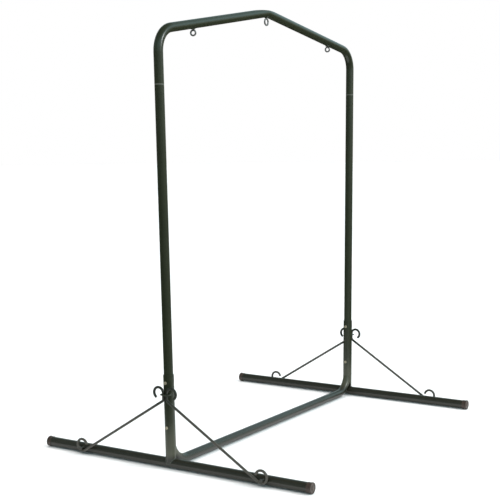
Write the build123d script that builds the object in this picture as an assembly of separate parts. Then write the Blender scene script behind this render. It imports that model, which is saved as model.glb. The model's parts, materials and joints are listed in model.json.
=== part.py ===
"""Free-standing tubular steel stand for a hammock chair.

Frame: +X runs along the width, from the left foot to the right foot. +Y runs from front to rear.
+Z is up. The origin is on the floor, midway between the feet. All sizes are millimetres.
"""
import math
import os

from build123d import *

# ---- driving dimensions ------------------------------------------------------------------
tube_d = 42.2
tube_wall = 2.0
sleeve_d = 48.3
sleeve_wall = 2.6
foot_d = 44.5
foot_wall = 2.0
half_width = 846.0
splay = 1.26
foot_overall = 1462.0

cap_d = 49.5
cap_lip_d = 46.1
cap_bore_d = 44.7
cap_skirt = 18.0
cap_end = 4.5
cap_dome = 2.0
cap_edge = 3.0

cross_bend = 113.0
cross_leg_top = 290.0
upright_foot_z = 295.0
seam_z = 1707.4
sleeve_top = 427.7
sleeve_rim = 0.8
sleeve_lower_step = 0.3

corner_z = 1940.9
apex_z = 2085.6
corner_bend = 108.0
apex_bend = 60.0
press_radius = 800.0

spigot_d = 37.8
spigot_wall = 2.0
spigot_half = 60.0

upper_bolt_z = 395.0
lower_bolt_z = 191.0
bolt_d = 8.0
bolt_hole_d = 8.6
bolt_head_af = 13.0
bolt_head_h = 5.3
nut_h = 6.5
bolt_tail = 2.2
seat_gap = 0.05

rod_d = 12.0
rod_plane_gap = 0.55
brace_angle = 32.0
loop_y = 496.0
loop_z = 45.0
loop_bend = 28.0
loop_end_angle = 167.5
hook_y = 34.5
hook_z = 349.0
hook_bend = 25.0
hook_end_angle = -57.5
knee_bend = 15.0

staple_d = 6.0
staple_half = 19.5
staple_z = 343.0
staple_reach = 0.3
staple_root = 2.0

stud_d = 10.0
stud_y = 500.0
stud_z = 29.5
stud_head_d = 18.0
stud_head_h = 4.0
stud_root = 2.0

eye_x = 625.0
boss_d = 20.0
boss_hole_d = 20.1
boss_drop = 2.6
boss_rise = 12.0
shank_d = 8.0
shank_bore_d = 8.1
shank_rise = 14.0
eye_gap = 0.3
side_ring_d = 31.0
side_wire_d = 8.0
side_land_d = 16.0
centre_ring_d = 39.5
centre_wire_d = 8.25
centre_land_d = 23.6
left_eye_turn = 105.0
centre_eye_turn = 0.0
right_eye_turn = 98.0

# ---- sizes that follow from them ---------------------------------------------------------
tube_r = tube_d / 2
tube_bore_r = tube_r - tube_wall
sleeve_r = sleeve_d / 2
sleeve_bore_r = sleeve_r - sleeve_wall
foot_r = foot_d / 2
foot_z = cap_d / 2
foot_half = foot_overall / 2 - cap_end - cap_dome
cross_z = foot_z - foot_r + tube_r
rod_r = rod_d / 2
rod_x = half_width + sleeve_r + rod_plane_gap + rod_r
lean = math.radians(splay)
corner_x = half_width + (corner_z - foot_z) * math.sin(lean)
corner_height = foot_z + (corner_z - foot_z) * math.cos(lean)
slope = math.atan2(apex_z - corner_height, corner_x)
bar_drop = tube_r / math.cos(slope)

SIDES = (("left", -1), ("right", 1))
ENDS = (("front", -1), ("rear", 1))


def tilt(side, shape):
    """Lean a riser's piece outward about its foot. Heights on a riser are measured along it."""
    x = side * half_width
    return Pos(x, 0, foot_z) * Rot(0, side * splay, 0) * Pos(-x, 0, -foot_z) * shape


def riser_point(side, height):
    """Point of a riser's axis at a height measured along it."""
    rise = height - foot_z
    return (side * (half_width + rise * math.sin(lean)), 0, foot_z + rise * math.cos(lean))


def save(name, shape):
    """Write one named piece."""
    shape.label = name
    export_step(shape, "parts/" + name + ".step")


def rod_along_x(radius, x0, x1, y, z):
    """Round bar between two X positions."""
    low = min(x0, x1)
    length = abs(x1 - x0)
    return Pos(low + length / 2, y, z) * Rot(0, 90, 0) * Cylinder(radius, length)


def rod_along_y(radius, y0, y1, x, z):
    """Round bar between two Y positions."""
    low = min(y0, y1)
    length = abs(y1 - y0)
    return Pos(x, low + length / 2, z) * Rot(90, 0, 0) * Cylinder(radius, length)


def rod_along_z(radius, z0, z1, x, y=0.0):
    """Round bar between two heights."""
    return Pos(x, y, (z0 + z1) / 2) * Cylinder(radius, abs(z1 - z0))


def swept(path, radius):
    """Round section carried along a path."""
    start = Plane(origin=path @ 0, z_dir=path % 0)
    return sweep(start * Circle(radius), path=path)


def hexagon_along_x(across_flats, x0, x1, z):
    """Hexagonal block between two X positions, with its corners eased by a turned chamfer."""
    low = min(x0, x1)
    length = abs(x1 - x0)
    prism = extrude(RegularPolygon(across_flats / 2, 6, major_radius=False), length)
    prism = Pos(low, 0, z) * Rot(0, 90, 0) * prism
    return prism


# ---- base --------------------------------------------------------------------------------
def foot_tube(side):
    """Straight tube that lies on the floor from front to rear."""
    x = side * half_width
    outer = rod_along_y(foot_r, -foot_half, foot_half, x, foot_z)
    inner = rod_along_y(foot_r - foot_wall, -foot_half - 1, foot_half + 1, x, foot_z)
    return outer - inner


def foot_cap(side, end):
    """Flared plastic cap pushed over a foot tube's end, with a slightly domed face."""
    lip = -cap_skirt
    face = cap_end
    crown = cap_end + cap_dome
    with BuildPart() as cap:
        with BuildSketch(Plane.XY):
            with BuildLine():
                Polyline((0, 0), (cap_bore_d / 2, 0), (cap_bore_d / 2, lip), (cap_lip_d / 2, lip))
                Line((cap_lip_d / 2, lip), (cap_d / 2, face - cap_edge))
                TangentArc((cap_d / 2, face - cap_edge), (cap_d / 2 - cap_edge, face), tangent=(0, 1))
                Spline((cap_d / 2 - cap_edge, face), (0, crown), tangents=((-1, 0.12), (-1, 0)))
                Line((0, crown), (0, 0))
            make_face()
        revolve(axis=Axis.Y)
    turn = Rot(0, 0, 0) if end > 0 else Rot(0, 0, 180)
    return Pos(side * half_width, end * foot_half, foot_z) * turn * cap.part


def cross_path(extra=0.0):
    """Centreline of the cross tube: down one riser, along the floor and up the other."""
    corner = half_width + (cross_z - foot_z) * math.tan(lean)
    return FilletPolyline(
        riser_point(-1, cross_leg_top + extra),
        (-corner, 0, cross_z),
        (corner, 0, cross_z),
        riser_point(1, cross_leg_top + extra),
        radius=cross_bend,
    )


def bolt_hole(side, z):
    """Clearance hole right through a riser."""
    x = side * half_width
    return tilt(side, rod_along_x(bolt_hole_d / 2, x - 40, x + 40, 0, z))


def cross_tube():
    """U-shaped tube between the feet, with both ends turned up inside the sleeves."""
    path = cross_path()
    tube = swept(path, tube_r) - swept(path, tube_bore_r)
    for _, side in SIDES:
        tube -= bolt_hole(side, lower_bolt_z)
    return tube


def riser_sleeve(side):
    """Larger tube welded on the foot. Its bore follows the elbow out through the inner wall."""
    x = side * half_width
    body = tilt(side, rod_along_z(sleeve_r, foot_z, sleeve_top, x))
    body -= swept(cross_path(sleeve_top - cross_leg_top + 5), sleeve_bore_r)
    lower = rod_along_z(sleeve_bore_r - sleeve_lower_step, 0, cross_z + cross_bend - 15, x)
    body -= tilt(side, lower)
    skirt = Pos(x - side * 40, 0, foot_z + 15) * Box(68, 80, 60)
    body -= skirt
    body -= rod_along_y(foot_r, -60, 60, x, foot_z)
    body -= bolt_hole(side, upper_bolt_z)
    body -= bolt_hole(side, lower_bolt_z)
    rim = body.edges().filter_by(GeomType.CIRCLE).group_by(Axis.Z)[-1].sort_by(SortBy.RADIUS)[-1]
    return fillet(rim, sleeve_rim)


# ---- uprights and arch -------------------------------------------------------------------
def upright(side):
    """Straight tube from inside the sleeve to the arch seam."""
    x = side * half_width
    tube = rod_along_z(tube_r, upright_foot_z, seam_z, x)
    tube -= rod_along_z(tube_bore_r, upright_foot_z - 1, seam_z + 1, x)
    return tilt(side, tube) - bolt_hole(side, upper_bolt_z)


def arch_path():
    """Centreline of the arch: leg, corner bend, peak, corner bend, leg."""
    return FilletPolyline(
        riser_point(-1, seam_z),
        riser_point(-1, corner_z),
        (0, 0, apex_z),
        riser_point(1, corner_z),
        riser_point(1, seam_z),
        radius=(corner_bend, apex_bend, corner_bend),
    )


def pressed_crown(inset):
    """Lens of metal missing above the peak, where the tube's top was pressed flatter."""
    roof = apex_z + (tube_r - inset) / math.cos(slope)
    radius = press_radius - inset
    centre_z = apex_z + tube_r / math.cos(slope) - press_radius / math.cos(slope)
    reach = press_radius * math.sin(slope)
    block = Pos(0, 0, roof - 10) * Box(2 * reach, 60, 60)
    return block - rod_along_y(radius, -40, 40, 0, centre_z)


def top_arch():
    """One bent tube with a hole in its underside for each eye boss."""
    path = arch_path()
    outer = swept(path, tube_r) - pressed_crown(0)
    inner = swept(path, tube_bore_r) - pressed_crown(tube_wall)
    tube = outer - inner
    for x, underside in eye_places():
        tube -= rod_along_z(boss_hole_d / 2, underside - 10, underside + 14, x)
    return tube


def arch_spigot(side):
    """Short inner tube that lines up an upright and the arch at their seam."""
    x = side * half_width
    tube = rod_along_z(spigot_d / 2, seam_z - spigot_half, seam_z + spigot_half, x)
    bore = spigot_d / 2 - spigot_wall
    tube -= rod_along_z(bore, seam_z - spigot_half - 1, seam_z + spigot_half + 1, x)
    return tilt(side, tube)


# ---- riser bolts -------------------------------------------------------------------------
def riser_bolts(side):
    """Two hexagon bolts through a riser, heads on the outer side."""
    head_x = side * (half_width + sleeve_r + seat_gap)
    tail_x = side * (half_width - sleeve_r - seat_gap - nut_h - bolt_tail)
    bolts = []
    for z in (upper_bolt_z, lower_bolt_z):
        head = hexagon_along_x(bolt_head_af, head_x, head_x + side * bolt_head_h, z)
        bolts.append(tilt(side, head + rod_along_x(bolt_d / 2, head_x, tail_x, 0, z)))
    return Compound(children=bolts)


def riser_nuts(side):
    """Nuts on the inner side of a riser."""
    seat_x = side * (half_width - sleeve_r - seat_gap)
    nuts = []
    for z in (upper_bolt_z, lower_bolt_z):
        block = hexagon_along_x(bolt_head_af, seat_x, seat_x - side * nut_h, z)
        bore = rod_along_x(bolt_d / 2 + 0.05, seat_x - 20, seat_x + 20, 0, z)
        nuts.append(tilt(side, block - bore))
    return Compound(children=nuts)


# ---- braces ------------------------------------------------------------------------------
def polar(centre_y, centre_z, radius, degrees):
    """Point of a circle in a brace's own plane, as (outward distance, height)."""
    angle = math.radians(degrees)
    return (centre_y + radius * math.cos(angle), centre_z + radius * math.sin(angle))


def brace(side, end):
    """Bent rod: a loop at the foot stud, a straight run, and a hook at the riser."""
    x = side * rod_x

    def place(point):
        return (x, end * point[0], point[1])

    fall = math.radians(brace_angle)
    tangent = 270 - brace_angle
    loop_end = 360 + loop_end_angle
    limb_y = hook_y - hook_bend
    touch = polar(loop_y, loop_z, loop_bend, tangent)
    corner_height = touch[1] + (touch[0] - limb_y) * math.tan(fall)
    knee = knee_bend * math.tan((math.pi / 2 - fall) / 2)
    knee_run = (limb_y + knee * math.cos(fall), corner_height - knee * math.sin(fall))
    knee_limb = (limb_y, corner_height + knee)
    knee_start = -90 - brace_angle
    knee_mid = polar(limb_y + knee_bend, corner_height + knee, knee_bend, (180 + 270 - brace_angle) / 2)
    hook_mid = (180 + hook_end_angle) / 2

    loop = ThreePointArc(
        place(polar(loop_y, loop_z, loop_bend, loop_end)),
        place(polar(loop_y, loop_z, loop_bend, (loop_end + tangent) / 2)),
        place(touch),
    )
    run = Line(place(touch), place(knee_run))
    bend = ThreePointArc(place(knee_run), place(knee_mid), place(knee_limb))
    limb = Line(place(knee_limb), place((limb_y, hook_z)))
    hook = ThreePointArc(
        place((limb_y, hook_z)),
        place(polar(hook_y, hook_z, hook_bend, hook_mid)),
        place(polar(hook_y, hook_z, hook_bend, hook_end_angle)),
    )
    path = Wire([loop, run, bend, limb, hook])
    return tilt(side, swept(path, rod_r))


def riser_staple(side):
    """Round staple across the outer face of a riser, with both hooks inside it."""
    span_x = rod_x + rod_r + staple_reach + staple_d / 2
    root_x = half_width + math.sqrt(sleeve_r ** 2 - staple_half ** 2) - staple_root
    path = FilletPolyline(
        (side * root_x, -staple_half, staple_z),
        (side * span_x, -staple_half, staple_z),
        (side * span_x, staple_half, staple_z),
        (side * root_x, staple_half, staple_z),
        radius=staple_d * 0.75,
    )
    staple = swept(path, staple_d / 2)
    staple -= rod_along_z(sleeve_r, staple_z - 20, staple_z + 20, side * half_width)
    return tilt(side, staple)


def foot_studs(side):
    """Two headed studs on the outer face of a foot, one through each brace's loop."""
    head_x = rod_x + rod_r + staple_reach
    studs = []
    for _, end in ENDS:
        y = end * stud_y
        root = side * (half_width + math.sqrt(foot_r ** 2 - (stud_z - foot_z) ** 2) - stud_root - 4)
        stud = rod_along_x(stud_d / 2, root, side * head_x, y, stud_z)
        stud += rod_along_x(stud_head_d / 2, side * head_x, side * (head_x + stud_head_h), y, stud_z)
        stud -= rod_along_y(foot_r, y - 30, y + 30, side * half_width, foot_z)
        studs.append(tilt(side, stud))
    return Compound(children=studs)


# ---- eyes --------------------------------------------------------------------------------
def eye_places():
    """X position and height of the bar's underside at each eye."""
    drop = math.tan(slope) * eye_x
    return (
        (-eye_x, apex_z - drop - bar_drop),
        (0.0, apex_z - tube_r - apex_bend * (1 / math.cos(slope) - 1)),
        (eye_x, apex_z - drop - bar_drop),
    )


def eye_boss(x, underside):
    """Bored boss set in a hole in the bar's underside."""
    low = underside - boss_drop
    boss = rod_along_z(boss_d / 2, low, underside + boss_rise, x)
    return boss - rod_along_z(shank_bore_d / 2, low - 1, underside + boss_rise + 1, x)


def eye_bolt(x, underside, ring_d, wire_d, land_d, turn):
    """Ring on a vertical shank. The ring's hole has a narrow straight land."""
    ring_top = underside - boss_drop - eye_gap
    centre = ring_top - ring_d / 2
    ring = Torus(ring_d / 2 - wire_d / 2, wire_d / 2)
    ring = Rot(90, 0, 0) * ring
    shank = Pos(0, 0, (ring_d / 2 - wire_d / 2 + underside + shank_rise - centre) / 2)
    shank = shank * Cylinder(shank_d / 2, underside + shank_rise - centre - ring_d / 2 + wire_d / 2)
    eye = ring + shank
    eye -= Rot(90, 0, 0) * Cylinder(land_d / 2, wire_d * 2)
    return Pos(x, 0, centre) * Rot(0, 0, turn) * eye


def build():
    """Write every piece."""
    os.makedirs("parts", exist_ok=True)
    for name, side in SIDES:
        save(name + "_foot_tube", foot_tube(side))
        save(name + "_riser_sleeve", riser_sleeve(side))
        save(name + "_upright", upright(side))
        save(name + "_arch_spigot", arch_spigot(side))
        save(name + "_riser_bolts", riser_bolts(side))
        save(name + "_riser_nuts", riser_nuts(side))
        save(name + "_riser_staple", riser_staple(side))
        save(name + "_foot_studs", foot_studs(side))
        for place, end in ENDS:
            save(name + "_" + place + "_foot_cap", foot_cap(side, end))
            save(name + "_" + place + "_brace", brace(side, end))
    save("cross_tube", cross_tube())
    save("top_arch", top_arch())
    rings = (
        ("left", side_ring_d, side_wire_d, side_land_d, left_eye_turn),
        ("centre", centre_ring_d, centre_wire_d, centre_land_d, centre_eye_turn),
        ("right", side_ring_d, side_wire_d, side_land_d, right_eye_turn),
    )
    for (name, ring_d, wire_d, land_d, turn), (x, underside) in zip(rings, eye_places()):
        save(name + "_eye_boss", eye_boss(x, underside))
        save(name + "_eye_bolt", eye_bolt(x, underside, ring_d, wire_d, land_d, turn))


build()
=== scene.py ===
"""Looks of a tubular steel stand for a hammock chair.

Units are metres, in the CAD frame: +X left foot to right foot, +Y front to rear, +Z up.
"""
import json
import math

import bmesh
import bpy
from mathutils import Matrix, Vector


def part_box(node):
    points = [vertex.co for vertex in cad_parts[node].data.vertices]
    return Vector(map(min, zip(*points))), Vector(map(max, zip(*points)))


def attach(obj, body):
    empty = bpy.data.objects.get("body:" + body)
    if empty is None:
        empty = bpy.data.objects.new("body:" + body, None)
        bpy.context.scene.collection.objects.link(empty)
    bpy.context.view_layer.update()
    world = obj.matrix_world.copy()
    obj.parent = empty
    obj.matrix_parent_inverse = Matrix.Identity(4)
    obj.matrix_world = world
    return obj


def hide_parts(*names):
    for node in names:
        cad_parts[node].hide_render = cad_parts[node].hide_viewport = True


MM = 0.001

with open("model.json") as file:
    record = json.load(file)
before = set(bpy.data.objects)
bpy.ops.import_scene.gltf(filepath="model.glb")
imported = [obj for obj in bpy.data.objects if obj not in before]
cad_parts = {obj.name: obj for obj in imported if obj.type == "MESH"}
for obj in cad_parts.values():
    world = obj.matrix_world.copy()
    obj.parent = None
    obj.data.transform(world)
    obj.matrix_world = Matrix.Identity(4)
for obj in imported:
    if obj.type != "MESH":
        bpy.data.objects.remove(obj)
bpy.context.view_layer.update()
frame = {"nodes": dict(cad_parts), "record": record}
nodes = frame["nodes"]


# ---- places read from the frame ------------------------------------------------------------
def centre_of(node):
    low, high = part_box(node)
    return (low + high) / 2


def size_of(node):
    low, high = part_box(node)
    return high - low


TUBE_R = size_of("cross_tube").y / 2
SLEEVE_R = size_of("left_riser_sleeve").y / 2
FOOT_R = size_of("left_foot_tube").x / 2
FOOT_X = centre_of("right_foot_tube").x
FOOT_Z = centre_of("right_foot_tube").z
SEAM = centre_of("right_arch_spigot")
LEAN = math.atan2(SEAM.x - FOOT_X, SEAM.z - FOOT_Z)
SIDES = {"left": -1, "right": 1}

HEX_ACROSS = 13.0 * MM
HEX_CORNER = HEX_ACROSS / math.sqrt(3)
BOLT_R = 4.0 * MM
BOLT_HEAD = 5.3 * MM
NUT_HEIGHT = 6.5 * MM
BOLT_TAIL = 2.2 * MM
SEAT_GAP = 0.05 * MM
THREAD_PITCH = 1.25 * MM


def riser_at(side, z):
    """Point of a riser's leaning axis at a height."""
    return Vector((side * (FOOT_X + (z - FOOT_Z) * math.tan(LEAN)), 0, z))


def riser_frame(side, z):
    """Matrix at a riser's axis: local X points outward, local Z runs up the riser."""
    out = Vector((side * math.cos(LEAN), 0, -math.sin(LEAN)))
    up = Vector((side * math.sin(LEAN), 0, math.cos(LEAN)))
    turn = Matrix((out, up.cross(out), up)).transposed().to_4x4()
    return Matrix.Translation(riser_at(side, z)) @ turn


# ---- node helpers --------------------------------------------------------------------------
def add_node(tree, kind, **values):
    """Adds a node to a tree and sets its properties."""
    node = tree.nodes.new(kind)
    for key, value in values.items():
        setattr(node, key, value)
    return node


def add_range(tree, value, low, high, to_low, to_high):
    """Maps a value from one range to another and returns the output socket."""
    node = add_node(tree, "ShaderNodeMapRange")
    limits = {"From Min": low, "From Max": high, "To Min": to_low, "To Max": to_high}
    for key, number in limits.items():
        node.inputs[key].default_value = number
    tree.links.new(value, node.inputs["Value"])
    return node.outputs["Result"]


class Shader:
    """Small helper that adds and links nodes of one material."""

    def __init__(self, name):
        self.material = bpy.data.materials.new(name)
        self.material.use_nodes = True
        self.tree = self.material.node_tree
        self.surface = self.tree.nodes["Principled BSDF"]
        self.place = self.add("ShaderNodeTexCoord").outputs["Object"]

    def add(self, kind, **values):
        return add_node(self.tree, kind, **values)

    def link(self, output, target):
        self.tree.links.new(output, target)

    def stretched(self, scale):
        node = self.add("ShaderNodeMapping")
        node.inputs["Scale"].default_value = scale
        self.link(self.place, node.inputs["Vector"])
        return node.outputs["Vector"]

    def noise(self, scale, detail=3.0, rough=0.5, place=None):
        node = self.add("ShaderNodeTexNoise")
        node.inputs["Scale"].default_value = scale
        node.inputs["Detail"].default_value = detail
        node.inputs["Roughness"].default_value = rough
        self.link(place or self.place, node.inputs["Vector"])
        return node.outputs["Fac"]

    def spread(self, value, low, high, to_low, to_high):
        return add_range(self.tree, value, low, high, to_low, to_high)

    def height(self):
        node = self.add("ShaderNodeSeparateXYZ")
        self.link(self.place, node.inputs["Vector"])
        return node.outputs["Z"]

    def maths(self, operation, first, second):
        node = self.add("ShaderNodeMath", operation=operation)
        for socket, value in zip(node.inputs, (first, second)):
            if isinstance(value, (int, float)):
                socket.default_value = value
            else:
                self.link(value, socket)
        return node.outputs["Value"]

    def blend(self, factor, first, second):
        node = self.add("ShaderNodeMix", data_type="RGBA")
        self.link(factor, node.inputs["Factor"])
        for socket, value in ((node.inputs["A"], first), (node.inputs["B"], second)):
            if isinstance(value, tuple):
                socket.default_value = (*value, 1.0)
            else:
                self.link(value, socket)
        return node.outputs["Result"]

    def relief(self, height, distance, below=None):
        node = self.add("ShaderNodeBump")
        node.inputs["Distance"].default_value = distance
        self.link(height, node.inputs["Height"])
        if below:
            self.link(below, node.inputs["Normal"])
        return node.outputs["Normal"]

    def finish(self, colour, roughness, normal, **fixed):
        self.link(colour, self.surface.inputs["Base Color"])
        self.link(roughness, self.surface.inputs["Roughness"])
        self.link(normal, self.surface.inputs["Normal"])
        for key, value in fixed.items():
            self.surface.inputs[key.replace("_", " ")].default_value = value
        return self.material


# ---- materials -----------------------------------------------------------------------------
SEAM_LINE = 1.5 * MM

# Heights above the floor between which a wear layer fades out.
EARTH_FULL, EARTH_END = 0.045, 0.070
DUST_FULL, DUST_END = 0.060, 0.220
RUB_FULL, RUB_END = 0.26, 0.31

GREEN_DEEP, GREEN_PALE = (0.0120, 0.0160, 0.0075), (0.0210, 0.0270, 0.0130)
SCUFF_GREY = (0.060, 0.068, 0.058)
EARTH_BROWN = (0.0200, 0.0165, 0.0130)
DUST_BEIGE = (0.190, 0.180, 0.125)
# Seam band colour: a painted highlight on the rim of the joint.
SEAM_HIGHLIGHT_GREY = (0.190, 0.195, 0.170)
ROD_DEEP, ROD_PALE = (0.012, 0.014, 0.009), (0.024, 0.026, 0.018)
RUBBED_DEEP, RUBBED_PALE = (0.042, 0.038, 0.030), (0.072, 0.066, 0.054)
CHIP_GREY = (0.150, 0.140, 0.120)
CAP_DEEP, CAP_PALE = (0.026, 0.015, 0.012), (0.050, 0.032, 0.023)
CAP_SCUFF = (0.150, 0.110, 0.070)
ZINC_DARK, ZINC_LIGHT = (0.26, 0.235, 0.17), (0.44, 0.40, 0.29)
EYE_DARK, EYE_LIGHT = (0.17, 0.17, 0.17), (0.34, 0.34, 0.33)
STAIN_BROWN = (0.100, 0.075, 0.045)
STEEL, RUST = (0.28, 0.28, 0.27), (0.11, 0.06, 0.035)
# Weld colours: the paler one is a painted highlight on the bead.
WELD_DEEP, WELD_HIGHLIGHT_PALE = (0.020, 0.026, 0.020), (0.085, 0.088, 0.074)
FLOOR_DEEP, FLOOR_PALE = (0.90, 0.90, 0.90), (0.92, 0.92, 0.92)


def powder_coat():
    """Dark green powder coat: orange peel, scuffs, brown feet, dusty risers, seam lines with a groove
    and a painted highlight.
    """
    s = Shader("powder_coat")
    cloud = s.noise(6.0, 4.0)
    speckle = s.noise(900.0, 2.0)
    scuff = s.noise(30.0, 6.0, 0.7, s.stretched((9.0, 9.0, 0.7)))
    marks = s.spread(scuff, 0.62, 0.74, 0.0, 1.0)
    above_foot = s.spread(s.height(), EARTH_FULL, EARTH_END, 0.0, 1.0)
    climbing = s.maths("MULTIPLY", above_foot, s.spread(s.height(), DUST_FULL, DUST_END, 1.0, 0.0))
    earth = s.spread(s.height(), EARTH_FULL, EARTH_END, 0.65, 0.0)
    dust = s.maths("MULTIPLY", climbing, s.spread(cloud, 0.3, 0.7, 0.5, 1.0))
    from_seam = s.maths("ABSOLUTE", s.maths("SUBTRACT", s.height(), SEAM.z), 0.0)
    seam = s.spread(from_seam, SEAM_LINE * 0.4, SEAM_LINE, 1.0, 0.0)
    paint = s.blend(cloud, GREEN_DEEP, GREEN_PALE)
    paint = s.blend(s.maths("MULTIPLY", marks, 0.35), paint, SCUFF_GREY)
    paint = s.blend(earth, paint, EARTH_BROWN)
    paint = s.blend(s.maths("MULTIPLY", dust, 0.40), paint, DUST_BEIGE)
    # The paler grey band along the seam is a painted highlight on the joint's rim.
    paint = s.blend(seam, paint, SEAM_HIGHLIGHT_GREY)
    rough = s.maths("ADD", s.spread(speckle, 0.3, 0.7, 0.25, 0.35), s.maths("MULTIPLY", dust, 0.10))
    rough = s.maths("ADD", rough, s.maths("MULTIPLY", marks, 0.12))
    peel = s.relief(s.noise(420.0, 2.0), 0.12 * MM)
    peel = s.relief(s.noise(35.0, 2.0), 0.20 * MM, peel)
    peel = s.relief(s.maths("SUBTRACT", 1.0, seam), 0.5 * MM, peel)
    return s.finish(paint, rough, peel, IOR=1.5)


def rod_paint():
    """Grey-green satin paint on thin rod: rubbed paler below the hooks, with a few chips."""
    s = Shader("rod_paint")
    cloud = s.noise(28.0, 4.0)
    chips = s.spread(s.noise(160.0, 5.0, 0.65), 0.66, 0.72, 0.0, 1.0)
    paint = s.blend(cloud, ROD_DEEP, ROD_PALE)
    rubbed = s.blend(cloud, RUBBED_DEEP, RUBBED_PALE)
    paint = s.blend(s.spread(s.height(), RUB_END, RUB_FULL, 0.0, 1.0), paint, rubbed)
    paint = s.blend(s.maths("MULTIPLY", chips, 0.6), paint, CHIP_GREY)
    rough = s.spread(cloud, 0.3, 0.7, 0.34, 0.50)
    grain = s.relief(s.noise(300.0, 3.0), 0.10 * MM)
    return s.finish(paint, rough, grain)


def cap_plastic():
    """Dark brown moulded plastic: fine grain and pale scuffed patches."""
    s = Shader("cap_plastic")
    cloud = s.noise(40.0, 4.0)
    scuffs = s.spread(s.noise(120.0, 6.0, 0.7), 0.56, 0.70, 0.0, 1.0)
    skin = s.blend(cloud, CAP_DEEP, CAP_PALE)
    skin = s.blend(s.maths("MULTIPLY", scuffs, 0.45), skin, CAP_SCUFF)
    rough = s.spread(cloud, 0.3, 0.7, 0.38, 0.55)
    grain = s.relief(s.noise(1500.0, 2.0), 0.10 * MM)
    grain = s.relief(s.noise(90.0, 3.0), 0.25 * MM, grain)
    return s.finish(skin, rough, grain)


def zinc(name, light, dark, roughness, metal):
    """Plated steel: mottled spangle, fine scratches and patches of dull brown stain."""
    s = Shader(name)
    mottle = s.noise(420.0, 5.0, 0.6)
    stain = s.spread(s.noise(150.0, 5.0, 0.65), 0.52, 0.72, 0.0, 1.0)
    plate = s.blend(mottle, dark, light)
    plate = s.blend(s.maths("MULTIPLY", stain, 0.45), plate, STAIN_BROWN)
    rough = s.spread(mottle, 0.3, 0.7, roughness, roughness + 0.14)
    rough = s.maths("ADD", rough, s.maths("MULTIPLY", stain, 0.15))
    scratch = s.relief(s.noise(500.0, 4.0, 0.6, s.stretched((1.0, 1.0, 8.0))), 0.05 * MM)
    return s.finish(plate, rough, scratch, Metallic=metal)


def bare_tube():
    """Bare drawn tube with a light film of rust."""
    s = Shader("bare_tube")
    rust = s.spread(s.noise(60.0, 5.0, 0.65), 0.48, 0.66, 0.0, 1.0)
    steel = s.blend(rust, STEEL, RUST)
    rough = s.spread(rust, 0.0, 1.0, 0.34, 0.70)
    return s.finish(steel, rough, s.relief(s.noise(500.0, 3.0), 0.08 * MM), Metallic=0.8)


def weld_paint():
    """Powder coat over a weld: uneven, with paler patches that are a painted highlight."""
    s = Shader("weld_paint")
    cloud = s.noise(160.0, 4.0)
    # The paler colour in the patches is a painted highlight, not the paint's own colour.
    paint = s.blend(cloud, WELD_DEEP, WELD_HIGHLIGHT_PALE)
    rough = s.spread(cloud, 0.3, 0.7, 0.26, 0.44)
    return s.finish(paint, rough, s.relief(s.noise(900.0, 3.0), 0.15 * MM))


def floor_paint():
    """Plain pale studio floor with a barely visible mottle."""
    s = Shader("studio_floor")
    cloud = s.noise(1.2, 2.0)
    tone = s.blend(cloud, FLOOR_DEEP, FLOOR_PALE)
    rough = s.spread(cloud, 0.3, 0.7, 0.85, 0.92)
    return s.finish(tone, rough, s.relief(s.noise(300.0, 2.0), 0.02 * MM))


FINISHES = {
    "powder_coat": powder_coat(),
    "rod_paint": rod_paint(),
    "cap_plastic": cap_plastic(),
    "zinc_plate": zinc("zinc_plate", ZINC_LIGHT, ZINC_DARK, 0.36, 0.40),
    "eye_zinc": zinc("eye_zinc", EYE_LIGHT, EYE_DARK, 0.28, 0.80),
    "bare_tube": bare_tube(),
    "weld": weld_paint(),
}


def paint_frame():
    """Every CAD node takes the finish that the record names for it."""
    for row in frame["record"]["subparts"]:
        piece = nodes[row["node"]]
        piece.data.materials.clear()
        piece.data.materials.append(FINISHES[row["material_slot"]])


# ---- mesh helpers --------------------------------------------------------------------------
def new_piece(name, mesh, finish, body="stand"):
    """Turns a bmesh into a smooth piece that rides on a body."""
    bmesh.ops.recalc_face_normals(mesh, faces=mesh.faces)
    data = bpy.data.meshes.new(name)
    mesh.to_mesh(data)
    mesh.free()
    data.materials.append(FINISHES[finish])
    piece = bpy.data.objects.new(name, data)
    bpy.context.scene.collection.objects.link(piece)
    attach(piece, body)
    return piece


def join_rings(mesh, rings, closed_path):
    """Skins a list of equal vertex rings; the ends are capped unless the path is closed."""
    count = len(rings[0])
    pairs = list(zip(rings, rings[1:]))
    if closed_path:
        pairs.append((rings[-1], rings[0]))
    for one, two in pairs:
        for i in range(count):
            j = (i + 1) % count
            mesh.faces.new((one[i], one[j], two[j], two[i])).smooth = True
    if not closed_path:
        mesh.faces.new(rings[0])
        mesh.faces.new(rings[-1])


BEAD_SECTION = 10
RIPPLE = 2.2 * MM
RIPPLE_SWELL = 0.16
WANDER = RIPPLE * 1.7
WANDER_SWELL = 0.10
END_TAPER = 0.35
TAPER_STEP = 0.25


def add_bead(mesh, path, radius, closed_path):
    """A weld bead along a dense path, with a ripple at every stop of the weld."""
    rings = []
    travelled = 0.0
    last = len(path) - 1
    for i, point in enumerate(path):
        before = path[i - 1] if i or closed_path else path[0]
        after = path[(i + 1) % len(path)] if i < last or closed_path else path[last]
        along = (after - before).normalized()
        if rings:
            side = (side - side.project(along)).normalized()
        else:
            side = along.orthogonal().normalized()
        other = along.cross(side)
        travelled += (point - path[i - 1]).length if i else 0.0
        ripple = RIPPLE_SWELL * abs(math.sin(math.pi * travelled / RIPPLE))
        swell = 1.0 + ripple + WANDER_SWELL * math.sin(travelled / WANDER)
        taper = 1.0 if closed_path else min(1.0, END_TAPER + TAPER_STEP * min(i, last - i))
        ring = []
        for k in range(BEAD_SECTION):
            turn = 2 * math.pi * k / BEAD_SECTION
            offset = side * math.cos(turn) + other * math.sin(turn)
            ring.append(mesh.verts.new(point + offset * radius * swell * taper))
        rings.append(ring)
    join_rings(mesh, rings, closed_path)


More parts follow.
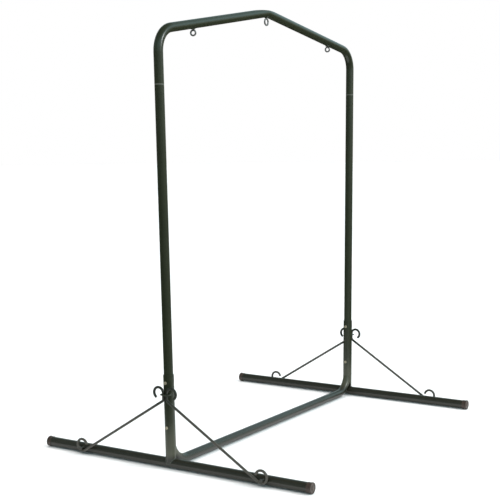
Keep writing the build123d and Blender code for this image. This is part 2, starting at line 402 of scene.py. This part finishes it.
def arc(start, stop, steps):
    """Even steps from start to stop, both given in degrees, as radians."""
    return [math.radians(start + (stop - start) * i / (steps - 1)) for i in range(steps)]


# ---- welds ---------------------------------------------------------------------------------
FOOT_BEAD = 2.4 * MM
SMALL_BEAD = 1.1 * MM
BOSS_BEAD = 1.3 * MM
WELD_REACH = 100.0  # degrees to each side of the outermost point
STAPLE_ROD_R = 3.0 * MM
STUD_R = 5.0 * MM
BOSS_DROP = 2.6 * MM


def foot_weld(side_name):
    """Bead round the outer half of a riser sleeve, where its coped end sits on the foot tube."""
    side = SIDES[side_name]
    path = []
    for turn in arc(-WELD_REACH, WELD_REACH, 90):
        out = SLEEVE_R * math.cos(turn)
        z = FOOT_Z + math.sqrt(max(FOOT_R ** 2 - out ** 2, 0.0))
        path.append(riser_at(side, z) + Vector((side * out, SLEEVE_R * math.sin(turn), 0)))
    mesh = bmesh.new()
    add_bead(mesh, path, FOOT_BEAD, False)
    new_piece(f"{side_name}_foot_weld", mesh, "weld")


def staple_welds(side_name):
    """Two small beads where a staple's ends meet the sleeve."""
    side = SIDES[side_name]
    node = f"{side_name}_riser_staple"
    z = centre_of(node).z
    half = size_of(node).y / 2 - STAPLE_ROD_R
    place = riser_frame(side, z)
    mesh = bmesh.new()
    for end in (-1, 1):
        path = []
        for turn in arc(0, 355, 40):
            y = end * half + STAPLE_ROD_R * math.cos(turn)
            out = math.sqrt(SLEEVE_R ** 2 - y ** 2)
            path.append(place @ Vector((out, y * side, STAPLE_ROD_R * math.sin(turn))))
        add_bead(mesh, path, SMALL_BEAD, True)
    new_piece(f"{side_name}_staple_welds", mesh, "weld")


def stud_welds(side_name):
    """A bead round each stud, where it meets the outer face of the foot tube."""
    side = SIDES[side_name]
    low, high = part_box(f"{side_name}_foot_studs")
    head_r = (high.z - low.z) / 2
    z = (low.z + high.z) / 2
    mesh = bmesh.new()
    for y in (low.y + head_r, high.y - head_r):
        path = []
        for turn in arc(0, 355, 44):
            rise = z - FOOT_Z + STUD_R * math.sin(turn)
            out = math.sqrt(FOOT_R ** 2 - rise ** 2)
            path.append(Vector((side * (FOOT_X + out), y + STUD_R * math.cos(turn), FOOT_Z + rise)))
        add_bead(mesh, path, BOSS_BEAD, True)
    new_piece(f"{side_name}_stud_welds", mesh, "weld")


def boss_weld(name):
    """Bead round an eye boss, on the underside of the sloping bar."""
    boss = centre_of(f"{name}_eye_boss")
    boss_r = size_of(f"{name}_eye_boss").x / 2
    outer = centre_of("right_eye_boss")
    peak = centre_of("centre_eye_boss")
    slope = (peak.z - outer.z) / (outer.x - peak.x)
    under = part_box(f"{name}_eye_boss")[0].z + BOSS_DROP
    path = []
    for turn in arc(0, 357, 60):
        across = boss_r * math.sin(turn)
        along = boss_r * math.cos(turn)
        lift = (TUBE_R - math.sqrt(TUBE_R ** 2 - across ** 2)) * math.hypot(1.0, slope)
        fall = slope * (abs(boss.x + along) - abs(boss.x)) if abs(boss.x) > boss_r else 0.0
        path.append(Vector((boss.x + along, across, under + lift - fall)))
    mesh = bmesh.new()
    add_bead(mesh, path, BOSS_BEAD, True)
    new_piece(f"{name}_boss_weld", mesh, "weld")


# ---- bolts and nuts ------------------------------------------------------------------------
HEX_STEPS = 72
CHAMFER = math.tan(math.radians(30))
FACE_R = HEX_ACROSS / 2 * 0.95
HEX_TURNS = {"up": 1, "down": -1}
DISH = 0.45 * MM
THREAD_DEPTH = 0.45 * MM
THREAD_LEAD = 2.0 * MM
TAIL_BEVEL = 0.8 * MM
COUNTERSINK = 0.7 * MM


def hex_ring(mesh, place, x, way):
    """Edge of a hexagon with flats facing Y, cut by a 30-degree cone that meets x at FACE_R."""
    ring = []
    for i in range(HEX_STEPS):
        turn = 2 * math.pi * i / HEX_STEPS
        inside = (turn + math.pi / 6) % (math.pi / 3) - math.pi / 6
        radius = HEX_ACROSS / 2 / math.cos(inside)
        cut = x + (radius - FACE_R) * CHAMFER * way
        spot = Vector((cut, radius * math.cos(turn), radius * math.sin(turn)))
        ring.append(mesh.verts.new(place @ spot))
    return ring


def round_ring(mesh, place, x, radius):
    """Circle round the bolt's axis, with as many points as a hexagon ring."""
    return [
        mesh.verts.new(place @ Vector((x, radius * math.cos(a), radius * math.sin(a))))
        for a in (2 * math.pi * i / HEX_STEPS for i in range(HEX_STEPS))
    ]


def add_lathe(mesh, place, profile, closed):
    """Skins rings given as (x, radius); "up" or "down" stands for a hexagon chamfered that way."""
    rings = []
    for x, radius in profile:
        if radius in HEX_TURNS:
            rings.append(hex_ring(mesh, place, x, HEX_TURNS[radius]))
        else:
            rings.append(round_ring(mesh, place, x, radius))
    join_rings(mesh, rings, closed)


def bolt_heights(side_name):
    """Heights of a riser's lower and upper bolt, half a hexagon in from the ends of their box."""
    low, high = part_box(f"{side_name}_riser_bolts")
    return low.z + HEX_CORNER, high.z - HEX_CORNER


def riser_bolts(side_name):
    """Hexagon bolts with chamfered, dished heads and threaded tails."""
    side = SIDES[side_name]
    mesh = bmesh.new()
    seat = SLEEVE_R + SEAT_GAP
    top = seat + BOLT_HEAD
    tail = -(seat + NUT_HEIGHT + BOLT_TAIL)
    for z in bolt_heights(side_name):
        place = riser_frame(side, z)
        profile = [
            (top - DISH, FACE_R * 0.05),
            (top - DISH, FACE_R * 0.62),
            (top, FACE_R * 0.80),
            (top, FACE_R),
            (top, "down"),
            (seat, "up"),
            (seat, FACE_R),
            (seat, BOLT_R),
        ]
        x = -SLEEVE_R + THREAD_LEAD
        while x > tail + TAIL_BEVEL:
            profile += [(x, BOLT_R), (x - THREAD_PITCH / 2, BOLT_R - THREAD_DEPTH)]
            x -= THREAD_PITCH
        profile += [
            (tail + 0.5 * MM, BOLT_R - 0.2 * MM),
            (tail, BOLT_R - TAIL_BEVEL),
            (tail, BOLT_R * 0.1),
        ]
        add_lathe(mesh, place, profile, False)
    piece = new_piece(f"{side_name}_hex_bolts", mesh, "zinc_plate")
    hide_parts(f"{side_name}_riser_bolts")


def riser_nuts(side_name):
    """Hexagon nuts, chamfered on both faces, with a countersunk bore."""
    side = SIDES[side_name]
    mesh = bmesh.new()
    seat = -(SLEEVE_R + SEAT_GAP)
    back = seat - NUT_HEIGHT
    bore = BOLT_R + 0.05 * MM
    for z in bolt_heights(side_name):
        profile = [
            (seat, FACE_R),
            (seat, "down"),
            (back, "up"),
            (back, FACE_R),
            (back, bore + COUNTERSINK),
            (back + COUNTERSINK, bore),
            (seat - COUNTERSINK, bore),
            (seat, bore + COUNTERSINK),
        ]
        add_lathe(mesh, riser_frame(side, z), profile, True)
    piece = new_piece(f"{side_name}_hex_nuts", mesh, "zinc_plate")
    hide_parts(f"{side_name}_riser_nuts")


# ---- end caps ------------------------------------------------------------------------------
CAP_STEPS = 96
CAP_END_WALL = 6.5 * MM
CAP_PLAY = 0.1 * MM
CENTRE_R = 0.5 * MM


def foot_cap(node):
    """Moulded cap: beaded mouth, slim skirt, flared rim and an end face dished round a low button.

    The outline goes from inside the bore round to the end face, as (depth from mouth, radius).
    """
    low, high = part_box(node)
    middle = (low + high) / 2
    away = 1 if middle.y > 0 else -1
    length = high.y - low.y
    rim = (high.x - low.x) / 2
    bore = FOOT_R + CAP_PLAY
    floor_of_bore = length - CAP_END_WALL
    profile = (
        (floor_of_bore, CENTRE_R),
        (floor_of_bore, bore),
        (0.6 * MM, bore),
        (0.0, bore + 0.3 * MM),
        (0.0, rim - 1.6 * MM),
        (0.6 * MM, rim - 0.9 * MM),
        (1.8 * MM, rim - 0.7 * MM),
        (3.0 * MM, rim - 0.9 * MM),
        (3.8 * MM, rim - 1.5 * MM),
        (11.0 * MM, rim - 1.4 * MM),
        (15.0 * MM, rim - 0.8 * MM),
        (17.5 * MM, rim - 0.15 * MM),
        (19.0 * MM, rim),
        (21.0 * MM, rim - 0.15 * MM),
        (22.6 * MM, rim - 1.0 * MM),
        (23.6 * MM, rim - 2.6 * MM),
        (23.6 * MM, rim - 4.2 * MM),
        (22.9 * MM, rim - 5.2 * MM),
        (22.8 * MM, rim * 0.42),
        (23.3 * MM, rim * 0.38),
        (length, rim * 0.30),
        (length, CENTRE_R),
    )
    mesh = bmesh.new()
    mouth = low.y if away > 0 else high.y
    rings = []
    for y, radius in profile:
        ring = []
        for i in range(CAP_STEPS):
            turn = 2 * math.pi * i / CAP_STEPS
            ring.append(mesh.verts.new((
                middle.x + radius * math.cos(turn),
                mouth + away * y,
                middle.z + radius * math.sin(turn),
            )))
        rings.append(ring)
    join_rings(mesh, rings, False)
    piece = new_piece(f"{node}_moulding", mesh, "cap_plastic")
    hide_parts(node)


# ---- stage ---------------------------------------------------------------------------------
FLOOR_NEAR = 1.35
FLOOR_FAR = 60.0
FLOOR_DROP = 0.2 * MM
FLOOR_STEPS = 96


def floor_ring(mesh, radius):
    """Circle of floor vertices, just below the feet."""
    turns = (2 * math.pi * i / FLOOR_STEPS for i in range(FLOOR_STEPS))
    return [mesh.verts.new((radius * math.cos(t), radius * math.sin(t), -FLOOR_DROP)) for t in turns]


def add_floor():
    """One pale floor in two pieces: the sheet under the stand shows in its gloss, the rest does not."""
    paint = floor_paint()
    sheets = (("floor_near", None, FLOOR_NEAR), ("floor_far", FLOOR_NEAR, FLOOR_FAR))
    for name, inner, outer in sheets:
        mesh = bmesh.new()
        rim = floor_ring(mesh, outer)
        if inner is None:
            mesh.faces.new(rim)
        else:
            hole = floor_ring(mesh, inner)
            for i in range(FLOOR_STEPS):
                j = (i + 1) % FLOOR_STEPS
                mesh.faces.new((hole[i], rim[i], rim[j], hole[j]))
        data = bpy.data.meshes.new(name)
        mesh.to_mesh(data)
        mesh.free()
        data.materials.append(paint)
        floor = bpy.data.objects.new(name, data)
        floor.visible_glossy = inner is None
        bpy.context.scene.collection.objects.link(floor)


CAMERA_PLACE = Vector((-4.80169, -2.97173, 1.47183))
HEADING = 32.69904
PITCH = -5.68574
ROLL = -0.61893
LENS = 81.01
SENSOR = 36.0


def camera_turn():
    """The camera looks along HEADING, in degrees from +X, then pitches up and rolls."""
    heading = Matrix.Rotation(math.radians(HEADING - 90), 4, "Z")
    pitch = Matrix.Rotation(math.radians(90 + PITCH), 4, "X")
    roll = Matrix.Rotation(math.radians(ROLL), 4, "Z")
    return heading @ pitch @ roll


def add_camera():
    """The photograph's viewpoint, lens and roll."""
    data = bpy.data.cameras.new("camera")
    data.lens = LENS
    data.sensor_width = SENSOR
    data.clip_end = 200.0
    camera = bpy.data.objects.new("camera", data)
    camera.matrix_world = Matrix.Translation(CAMERA_PLACE) @ camera_turn()
    bpy.context.scene.collection.objects.link(camera)
    bpy.context.scene.camera = camera


BRIGHT_SIDE = (0.42, -0.90, 0.10)
SIDE_SPAN = 0.55
DIM_SIDE = 0.26
SURROUND_BANDS = (
    (0.00, (0.05, 0.05, 0.04)),
    (0.46, (0.10, 0.09, 0.07)),
    (0.50, (0.48, 0.47, 0.37)),
    (0.60, (0.70, 0.92, 0.92)),
    (0.72, (0.86, 1.30, 1.42)),
    (0.84, (0.40, 0.56, 0.60)),
    (0.92, (0.12, 0.14, 0.14)),
)


def add_world():
    """White where seen directly. As a light, a softbox band above the horizon, brighter on one side."""
    world = bpy.data.worlds.new("studio")
    world.use_nodes = True
    tree = world.node_tree
    tree.nodes.clear()
    link = tree.links.new
    where = add_node(tree, "ShaderNodeTexCoord")
    parts = add_node(tree, "ShaderNodeSeparateXYZ")
    link(where.outputs["Generated"], parts.inputs[0])
    bands = add_node(tree, "ShaderNodeValToRGB")
    ramp = bands.color_ramp
    ramp.interpolation = "EASE"
    while len(ramp.elements) < len(SURROUND_BANDS):
        ramp.elements.new(1.0)
    for element, (stop, colour) in zip(ramp.elements, SURROUND_BANDS):
        element.position = stop
        element.color = (*colour, 1.0)
    link(add_range(tree, parts.outputs["Z"], -1.0, 1.0, 0.0, 1.0), bands.inputs["Fac"])
    toward = add_node(tree, "ShaderNodeVectorMath", operation="DOT_PRODUCT")
    toward.inputs[1].default_value = BRIGHT_SIDE
    link(where.outputs["Generated"], toward.inputs[0])
    side = add_range(tree, toward.outputs["Value"], -SIDE_SPAN, SIDE_SPAN, DIM_SIDE, 1.0)
    fill = add_node(tree, "ShaderNodeBackground")
    link(bands.outputs["Color"], fill.inputs["Color"])
    link(side, fill.inputs["Strength"])
    seen = add_node(tree, "ShaderNodeBackground")
    seen.inputs["Color"].default_value = (1.0, 1.0, 1.0, 1.0)
    path = add_node(tree, "ShaderNodeLightPath")
    mix = add_node(tree, "ShaderNodeMixShader")
    out = add_node(tree, "ShaderNodeOutputWorld")
    link(path.outputs["Is Camera Ray"], mix.inputs["Fac"])
    link(fill.outputs[0], mix.inputs[1])
    link(seen.outputs[0], mix.inputs[2])
    link(mix.outputs[0], out.inputs["Surface"])
    bpy.context.scene.world = world


SUN_STRENGTH = 3.1
SUN_TINT = (1.0, 0.955, 0.94)
SUN_SPREAD = 110.0
KEY_PLACE = Vector((2.1, -8.7, 5.4))
KEY_TARGET = Vector((0.0, 0.0, 1.0))
KEY_SIZE = 1.2
KEY_POWER = 400.0


def add_overhead():
    """A broad glow from above that is kept out of reflections."""
    data = bpy.data.lights.new("overhead", "SUN")
    data.energy = SUN_STRENGTH
    data.color = SUN_TINT
    data.angle = math.radians(SUN_SPREAD)
    sun = bpy.data.objects.new("overhead", data)
    sun.visible_glossy = False
    bpy.context.scene.collection.objects.link(sun)


def add_key():
    """A square softbox that draws the highlights along the tubes."""
    data = bpy.data.lights.new("key", "AREA")
    data.shape = "SQUARE"
    data.size = KEY_SIZE
    data.energy = KEY_POWER
    key = bpy.data.objects.new("key", data)
    key.location = KEY_PLACE
    key.rotation_euler = (KEY_TARGET - KEY_PLACE).to_track_quat("-Z", "Y").to_euler()
    bpy.context.scene.collection.objects.link(key)


paint_frame()
for side_name in SIDES:
    foot_weld(side_name)
    staple_welds(side_name)
    stud_welds(side_name)
    riser_bolts(side_name)
    riser_nuts(side_name)
    for end_name in ("front", "rear"):
        foot_cap(f"{side_name}_{end_name}_foot_cap")
for eye_name in ("left", "centre", "right"):
    boss_weld(eye_name)
add_floor()
add_camera()
add_world()
add_overhead()
add_key()
bpy.context.scene.view_settings.view_transform = "Standard"
